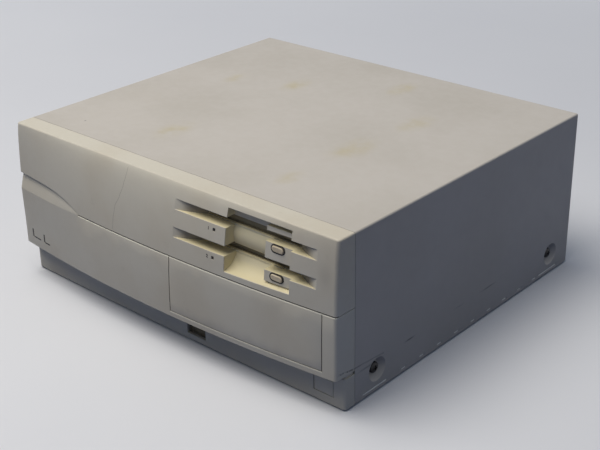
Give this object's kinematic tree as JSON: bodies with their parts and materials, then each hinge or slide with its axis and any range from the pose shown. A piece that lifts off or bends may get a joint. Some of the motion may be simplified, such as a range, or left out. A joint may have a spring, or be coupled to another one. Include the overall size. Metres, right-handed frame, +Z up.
{
  "type": "desktop computer",
  "caption": "Low beige desktop computer case with a bowed plastic front, disk drives with finger recess, push buttons, removable bay cover and folded steel cover.",
  "frame": {"origin": "on the table, under the middle of the case's bounding box", "axes": "+X to the right as seen from the front, +Y to the back, +Z up"},
  "size_m": [0.38, 0.351, 0.15],
  "materials": {
    "front_plastic": "fine moulded texture",
    "cover_paint": "fine textured paint",
    "screw_black": "black oxide",
    "foot_rubber": "matt",
    "chassis_steel": "zinc plated",
    "bright_steel": "bright",
    "hub_aluminium": "machined",
    "carriage_plastic": "moulded",
    "flap_plastic": "moulded",
    "lamp_lens": "smoked clear",
    "socket_black": "moulded",
    "board_green": "lacquered",
    "chip_black": "moulded",
    "speaker_paper": "paper cone",
    "fan_plastic": "moulded"
  },
  "bodies": {
    "case": {"base_pan": "chassis_steel", "board_chips": "chip_black", "card_backplane": "board_green", "card_cage": "chassis_steel", "card_sockets": "socket_black", "cover_screws": "screw_black", "disk_lamp": "lamp_lens", "display_port": "bright_steel", "drive_cage": "chassis_steel", "drive_frame_1": "chassis_steel", "drive_frame_2": "chassis_steel", "drive_lamp_1": "lamp_lens", "drive_lamp_2": "lamp_lens", "fan_frame": "fan_plastic", "feet": "foot_rubber", "front_rail": "front_plastic", "keyboard_socket": "socket_black", "lower_bezel": "front_plastic", "main_board": "board_green", "mains_inlet": "socket_black", "mains_outlet": "socket_black", "memory_modules": "board_green", "mouse_port": "socket_black", "power_lamp": "lamp_lens", "power_supply": "chassis_steel", "power_switch": "socket_black", "printer_port": "bright_steel", "processor": "chip_black", "rear_panel": "chassis_steel", "serial_port": "bright_steel", "slot_covers": "chassis_steel", "slot_screws": "bright_steel", "speaker": "speaker_paper", "top_cover": "cover_paint", "upper_bezel": "front_plastic"},
    "power_button": {"power_button": "front_plastic"},
    "file_bay_cover": {"file_bay_cover": "front_plastic"},
    "fan_rotor": {"fan_rotor": "fan_plastic"},
    "eject_button_1": {"eject_button_1": "front_plastic"},
    "drive_flap_1": {"drive_flap_1": "flap_plastic"},
    "spindle_hub_1": {"spindle_hub_1": "hub_aluminium"},
    "head_carriage_1": {"head_carriage_1": "carriage_plastic"},
    "lead_screw_1": {"lead_screw_1": "bright_steel"},
    "eject_button_2": {"eject_button_2": "front_plastic"},
    "drive_flap_2": {"drive_flap_2": "flap_plastic"},
    "spindle_hub_2": {"spindle_hub_2": "hub_aluminium"},
    "head_carriage_2": {"head_carriage_2": "carriage_plastic"},
    "lead_screw_2": {"lead_screw_2": "bright_steel"}
  },
  "joints": [
    {"name": "power_push", "type": "slide", "parent": "case", "child": "power_button", "axis": [0, 1, 0], "range_m": [0, 0.003], "stiffness_N_per_m": 400, "springref_m": -0.002},
    {"name": "bay_cover_pull", "type": "slide", "parent": "case", "child": "file_bay_cover", "axis": [0, -1, 0], "range_m": [0, 0.03]},
    {"name": "fan_spin", "type": "hinge", "parent": "case", "child": "fan_rotor", "pos_m": [0.122, 0.156, 0.096], "axis": [0, 1, 0], "continuous": true},
    {"name": "eject_push_1", "type": "slide", "parent": "case", "child": "eject_button_1", "axis": [0, 1, 0], "range_m": [0, 0.004], "stiffness_N_per_m": 300, "springref_m": -0.002},
    {"name": "flap_swing_1", "type": "hinge", "parent": "case", "child": "drive_flap_1", "pos_m": [0.101, -0.1506, 0.1363], "axis": [1, 0, 0], "range_deg": [0, 80], "stiffness_Nm_per_rad": 0.001, "springref_deg": -11.46},
    {"name": "hub_spin_1", "type": "hinge", "parent": "case", "child": "spindle_hub_1", "pos_m": [0.101, -0.0982, 0.1333], "axis": [0, 0, 1], "continuous": true},
    {"name": "carriage_travel_1", "type": "slide", "parent": "case", "child": "head_carriage_1", "axis": [0, 1, 0], "range_m": [-0.007, 0.007]},
    {"name": "screw_turn_1", "type": "hinge", "parent": "case", "child": "lead_screw_1", "pos_m": [0.115, -0.0572, 0.1277], "axis": [0, 1, 0], "range_deg": [-850, 850]},
    {"name": "eject_push_2", "type": "slide", "parent": "case", "child": "eject_button_2", "axis": [0, 1, 0], "range_m": [0, 0.004], "stiffness_N_per_m": 300, "springref_m": -0.002},
    {"name": "flap_swing_2", "type": "hinge", "parent": "case", "child": "drive_flap_2", "pos_m": [0.101, -0.1506, 0.1131], "axis": [1, 0, 0], "range_deg": [0, 80], "stiffness_Nm_per_rad": 0.001, "springref_deg": -11.46},
    {"name": "hub_spin_2", "type": "hinge", "parent": "case", "child": "spindle_hub_2", "pos_m": [0.101, -0.0982, 0.1101], "axis": [0, 0, 1], "continuous": true},
    {"name": "carriage_travel_2", "type": "slide", "parent": "case", "child": "head_carriage_2", "axis": [0, 1, 0], "range_m": [-0.007, 0.007]},
    {"name": "screw_turn_2", "type": "hinge", "parent": "case", "child": "lead_screw_2", "pos_m": [0.115, -0.0572, 0.1045], "axis": [0, 1, 0], "range_deg": [-850, 850]}
  ],
  "couplings": [
    {"joint": "screw_turn_1", "follows": "carriage_travel_1", "rad_per_m": 2094.4},
    {"joint": "screw_turn_2", "follows": "carriage_travel_2", "rad_per_m": 2094.4}
  ]
}
